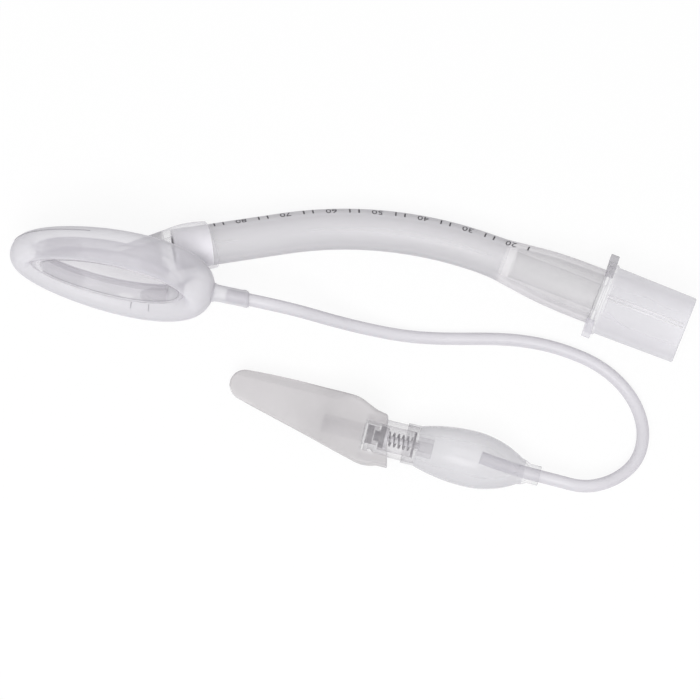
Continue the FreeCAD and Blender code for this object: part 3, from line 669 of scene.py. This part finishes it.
def numeral(words, at, aside):
    """A plain number, with its foot towards the tube's back."""
    text = bpy.data.curves.new("numeral", "FONT")
    text.body = words
    text.size = NUMBER_HEIGHT
    text.align_x, text.align_y = "CENTER", "CENTER"
    text.resolution_u = 3
    probe = link(bpy.data.objects.new("numeral", text))
    flat = bmesh.new()
    flat.from_mesh(bpy.data.meshes.new_from_object(probe))
    bpy.data.objects.remove(probe)
    bmesh.ops.triangulate(flat, faces=flat.faces)
    for _ in range(2):
        long_edges = [edge for edge in flat.edges if edge.calc_length() > LONGEST_EDGE]
        bmesh.ops.subdivide_edges(flat, edges=long_edges, cuts=1)
    bmesh.ops.triangulate(flat, faces=flat.faces)
    flat.verts.index_update()
    spots = [printed(at + vertex.co.x, vertex.co.y, aside) for vertex in flat.verts]
    faces = [tuple(vertex.index for vertex in face.verts) for face in flat.faces]
    flat.free()
    return link_mesh("numeral", spots, faces, CONNECTOR)


marks = []
for i in range(SCALE_PLACES):
    at = SCALE_START + i * SCALE_STEP
    aside = SCALE_ANGLE - SCALE_DRIFT * i / SCALE_PLACES
    group, place = divmod(i, PLACES_PER_NUMBER)
    if place == NUMBER_PLACE:
        marks.append(numeral(str(FIRST_NUMBER + NUMBER_STEP * group), at, aside))
    elif place in TICK_PLACES:
        marks.append(tick(at, aside))
scale = joined(*marks)
scale.name = "depth_scale"
ink = scale.modifiers.new("ink", "SOLIDIFY")
ink.thickness = INK_THICKNESS * MM
ink.offset = 0
applied(scale)
dress(scale, print_ink, "airway")


# Pilot balloon: its film as (along, radius) pairs, with a neck on the valve and a sleeve on the line
NECK_TIP, NECK, BELLY, SHOULDER = 8.7, (11.6, 4.5), (23.4, 6.3), (34.8, 3.0)
SLEEVE_BEND, SLEEVE, SLEEVE_TIP = 35.8, 37.0, 39.4
FILM_THICKNESS, SLEEVE_RADIUS, SLEEVE_BORE = 0.35, 2.18, 1.43
NECK_END, SLEEVE_START, FILM_FACING = 11.4, 36.0, -1.2


def bulge(start, end, flat_start, steps=40):
    """Points of an arc that is level at its start, or at its end, between (along, radius) pairs."""
    (s0, r0), (s1, r1) = (start, end) if flat_start else (end, start)
    run, rise = s1 - s0, r0 - r1
    radius = (run * run + rise * rise) / (2 * rise)
    span = math.asin(abs(run) / radius)
    points = []
    for i in range(steps + 1):
        a = span * i / steps
        points.append((s0 + math.copysign(radius * math.sin(a), run), r0 - radius * (1 - math.cos(a))))
    return points if flat_start else points[::-1]


def balloon_profile(inset, sleeve_radius):
    neck, belly, shoulder = ((at, radius - inset) for at, radius in (NECK, BELLY, SHOULDER))
    return [
        (NECK_TIP, neck[1]),
        *bulge(neck, belly, False),
        *bulge(belly, shoulder, True)[1:],
        (SLEEVE_BEND, (shoulder[1] * 2 + sleeve_radius) / 3),
        (SLEEVE, sleeve_radius),
        (SLEEVE_TIP, sleeve_radius),
    ]


balloon_skin = balloon_profile(0.0, SLEEVE_RADIUS)
balloon_bore = balloon_profile(FILM_THICKNESS, SLEEVE_BORE)
balloon = turned_piece("pilot_balloon_film", balloon_skin + balloon_bore[::-1], VALVE)
dress(balloon, balloon_film, "airway", ["pilot_balloon"])


def in_bond(spot):
    """True where the film is bonded to the valve's neck or to the line."""
    return not NECK_END < spot.x < SLEEVE_START


def in_balloon(spot, normal):
    return in_bond(spot) or outward(spot, normal) < FILM_FACING


def bonded_film(spot, normal):
    return in_bond(spot) and outward(spot, normal) > 0


inner_faces(balloon, inner_skin, in_balloon, VALVE)
inner_faces(balloon, neck_skin, bonded_film, VALVE)


# Vent tag, with a soft fold along its upper edge
FOLD_AT, FOLD_DROP, FOLD_REACH = 5.75, 0.9, 1.9
FOLD_END, FOLD_FADE, FOLD_FLOOR = -5.0, 3.0, 0.3
MOUTH_MIDDLE, MOUTH_HALF, MOUTH_BACK, RIM_FACING = -0.7, 3.3, -0.7, 0.5
PLUG_SEAT, SEAT_FACING = 2.9, 0.3
tag = melted(copied("vent_tag", "vent_tag_leaf"), smoothing=10)
to_valve = VALVE.inverted()
for vertex in tag.data.vertices:
    spot = to_valve @ (vertex.co / MM)
    share = (spot.y - FOLD_AT) / FOLD_REACH
    if spot.z > FOLD_FLOOR and share > 0 and spot.x < FOLD_END:
        drop = FOLD_DROP * min(1, share) * min(1, (FOLD_END - spot.x) / FOLD_FADE)
        spot.z = max(FOLD_FLOOR, spot.z - drop)
        vertex.co = (VALVE @ spot) * MM
dress(tag, tag_plastic, "vent", ["vent_tag"])


def in_mouth(spot, normal):
    """True in the tag's mouth, whose walls are clear where they lie on the valve."""
    near = abs(spot.y - MOUTH_MIDDLE) < MOUTH_HALF
    return spot.x > MOUTH_BACK and (near or normal.x > RIM_FACING)


def in_tag(spot, normal):
    """True on the walls inside the tag's mouth and in its hole for the plug's stub."""
    if spot.x > MOUTH_BACK:
        return (spot.y - MOUTH_MIDDLE) * normal.y + spot.z * normal.z < 0
    return math.hypot(spot.y, spot.z) < PLUG_SEAT and outward(spot, normal) < SEAT_FACING


scored(tag, VALVE, (X, MOUTH_BACK), (Y, MOUTH_MIDDLE - MOUTH_HALF), (Y, MOUTH_MIDDLE + MOUTH_HALF))
inner_faces(tag, mouth_skin, in_mouth, VALVE)
inner_faces(tag, inner_skin, in_tag, VALVE)


# Connector: stem, flange with two ears, and the cone, whose bore reaches to the flange
STEM_END, STEM_RADIUS, STEM_BORE = -20.2, 3.9, 3.0
FLANGE, FLANGE_RADIUS = 2.0, 8.2
CONE_END, CONE_ROOT, CONE_TIP = 20.5, 7.77, 7.54
EDGE, FILLET = 0.18, 0.25
CONNECTOR_ROUND = 128
CONNECTOR_INNER, CONNECTOR_SHADED_EAR, CONNECTOR_PARTING_HIGHLIGHT, CONNECTOR_RIM = 1, 2, 3, 4
connector_profile = [
    # Stem
    (STEM_END, STEM_RADIUS - EDGE), (STEM_END + EDGE, STEM_RADIUS), (-11.0, 4.85), (0.0, 5.05),
    # Flange
    (0.0, FLANGE_RADIUS - EDGE), (EDGE, FLANGE_RADIUS), (FLANGE - EDGE, FLANGE_RADIUS),
    # Cone, with its rounded lip
    (FLANGE, CONE_ROOT + FILLET), (FLANGE + FILLET, CONE_ROOT),
    (CONE_END - 0.4, CONE_TIP), (CONE_END - 0.1, CONE_TIP - 0.15), (CONE_END, CONE_TIP - 0.4),
    # Bore, back to the flange and through the stem
    (CONE_END, 6.65), (CONE_END - 0.15, 6.5), (1.4, 6.3), (1.0, 6.0),
    (1.0, 3.3), (0.7, STEM_BORE), (STEM_END, STEM_BORE),
]
connector = turned_piece("connector_cone", connector_profile, CONNECTOR, CONNECTOR_ROUND)
dress(connector, clear_rigid, "airway", ["connector"])
for material in (inner_skin, ear_painted_shade, parting_line_highlight, clear_rim):
    connector.data.materials.append(material)
# The stem and the bore are clearer than the cone, and so is the flange's rim.
STEM_TOP, WALL_FACING, RIM_TOP = -0.01, -1, FLANGE + 0.1
to_connector = CONNECTOR.inverted()
for face in connector.data.polygons:
    spot = to_connector @ (face.center / MM)
    if spot.x < STEM_TOP or outward(spot, to_connector.to_3x3() @ face.normal) < WALL_FACING:
        face.material_index = CONNECTOR_INNER
    elif spot.x < RIM_TOP:
        face.material_index = CONNECTOR_RIM

EAR_ROOT, EAR_REACH, EAR_DIFFERENCE, EAR_HALF = 7.9, 9.6, 0.5, 3.5
EAR_CORNER, CORNER_STEPS, EAR_INSET, EAR_BEVEL = 0.9, 8, 0.05, 0.15
EAR_SHIFT, EAR_LEAN = 0.5, 0.024


def ear(side):
    """One ear of the flange, from inside the flange's rim out to its rounded end."""
    middle = EAR_REACH + EAR_DIFFERENCE * side - EAR_CORNER
    outline = [(EAR_ROOT, -EAR_HALF)]
    for centre, first in ((-EAR_HALF + EAR_CORNER, -90), (EAR_HALF - EAR_CORNER, 0)):
        for step in range(CORNER_STEPS + 1):
            turn = math.radians(first + 90 * step / CORNER_STEPS)
            outline.append((middle + EAR_CORNER * math.cos(turn), centre + EAR_CORNER * math.sin(turn)))
    outline.append((EAR_ROOT, EAR_HALF))
    vertices = [
        Vector((x - EAR_SHIFT - EAR_LEAN * side * y, side * y, z))
        for x in (EAR_INSET, FLANGE - EAR_INSET)
        for y, z in outline
    ]
    count = len(outline)
    faces = [tuple(range(count)), tuple(range(count, 2 * count))]
    faces += [(j, (j + 1) % count, count + (j + 1) % count, count + j) for j in range(count)]
    obj = link_mesh("ear", vertices, faces, CONNECTOR)
    bevel = obj.modifiers.new("edges", "BEVEL")
    bevel.width = EAR_BEVEL * MM
    bevel.segments = 2
    applied(obj)
    # The upper ear takes the darker copy as painted shade, and the lower ear keeps the cone's plastic
    for face in obj.data.polygons:
        face.material_index = CONNECTOR_SHADED_EAR if side > 0 else 0
    return obj


def parting(aside, radius, gap):
    """A double line left by the mould along the cone, coloured near white as a painted highlight."""
    ends = ((FLANGE + 0.4, CONE_ROOT), (CONE_END - 0.6, CONE_TIP))
    lines = []
    for offset in (-gap / 2, gap / 2):
        points = []
        for at, out in ends:
            angle = math.radians(aside) + offset / out
            points.append(X * at + Y * (out * math.cos(angle)) + Z * (out * math.sin(angle)))
        lines.append(bead(points, radius, CONNECTOR))
    obj = joined(*lines)
    for face in obj.data.polygons:
        face.material_index = CONNECTOR_PARTING_HIGHLIGHT
    return obj


connector = joined(connector, ear(1), ear(-1), parting(aside=115, radius=0.15, gap=0.8))


# Spring coil, copied with a mesh of its own. In the valve it shortens as the plunger is pushed in; this
# copy keeps its length.
coil = copied("valve_spring", "valve_spring_coil")
dress(coil, spring_steel, "airway", ["valve_spring"])
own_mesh(coil)


# Hard pieces keep their solids
for node, material in (
    ("valve_body", clear_valve),
    ("valve_tail", clear_valve),
    ("valve_plunger", plunger_plastic),
    ("valve_seal", seal_rubber),
    ("vent_plug", plug_painted_light),
):
    dress_node(node, material)


# The line's length in metres, worked out and not kept
round(spline_length(line), 4)


# Background, floor and light
AMBIENT, WHITE = 0.55, 1.0
FLOOR_HALF = 3000
PAPER_COLOUR, PAPER_ROUGH, PAPER_GLOW = (0.9, 0.9, 0.9, 1), 0.9, 0.88
KEY_PLACE, KEY_SIZE, KEY_POWER = Vector((-0.1, -0.36, 0.84)), 0.45, 5.5
bpy.context.scene.view_settings.view_transform = "Standard"


def seen_factor(tree):
    """1 for camera, glossy and transmission rays."""
    path = tree.nodes.new("ShaderNodeLightPath").outputs
    seen = maths(tree, "MAXIMUM", path["Is Camera Ray"], path["Is Glossy Ray"])
    return maths(tree, "MAXIMUM", seen, path["Is Transmission Ray"])


world = bpy.data.worlds.new("studio")
bpy.context.scene.world = world
world.use_nodes = True
tree = world.node_tree
strength = added(
    tree, "ShaderNodeMapRange", {"Value": seen_factor(tree), "To Min": AMBIENT, "To Max": WHITE}
)
filled(tree, tree.nodes["Background"], {"Color": (1, 1, 1, 1), "Strength": strength.outputs["Result"]})

corners = [(x * FLOOR_HALF, y * FLOOR_HALF, 0) for x, y in ((-1, -1), (1, -1), (1, 1), (-1, 1))]
floor = link_mesh("floor", corners, [(0, 1, 2, 3)])
paper = bpy.data.materials.new("paper")
paper.use_nodes = True
tree = paper.node_tree
matt = filled(
    tree, tree.nodes["Principled BSDF"], {"Base Color": PAPER_COLOUR, "Roughness": PAPER_ROUGH}
)
glow = tree.nodes.new("ShaderNodeEmission")
share = maths(tree, "MULTIPLY", seen_factor(tree), PAPER_GLOW)
mix = added(
    tree, "ShaderNodeMixShader", {"Fac": share, 1: matt.outputs["BSDF"], 2: glow.outputs["Emission"]}
)
filled(tree, tree.nodes["Material Output"], {"Surface": mix.outputs["Shader"]})
floor.data.materials.append(paper)

key = link(bpy.data.objects.new("key", bpy.data.lights.new("key", "AREA")))
key.data.size = KEY_SIZE
key.data.energy = KEY_POWER
key.location = KEY_PLACE
key.rotation_euler = (TARGET - KEY_PLACE).to_track_quat("-Z", "Y").to_euler()
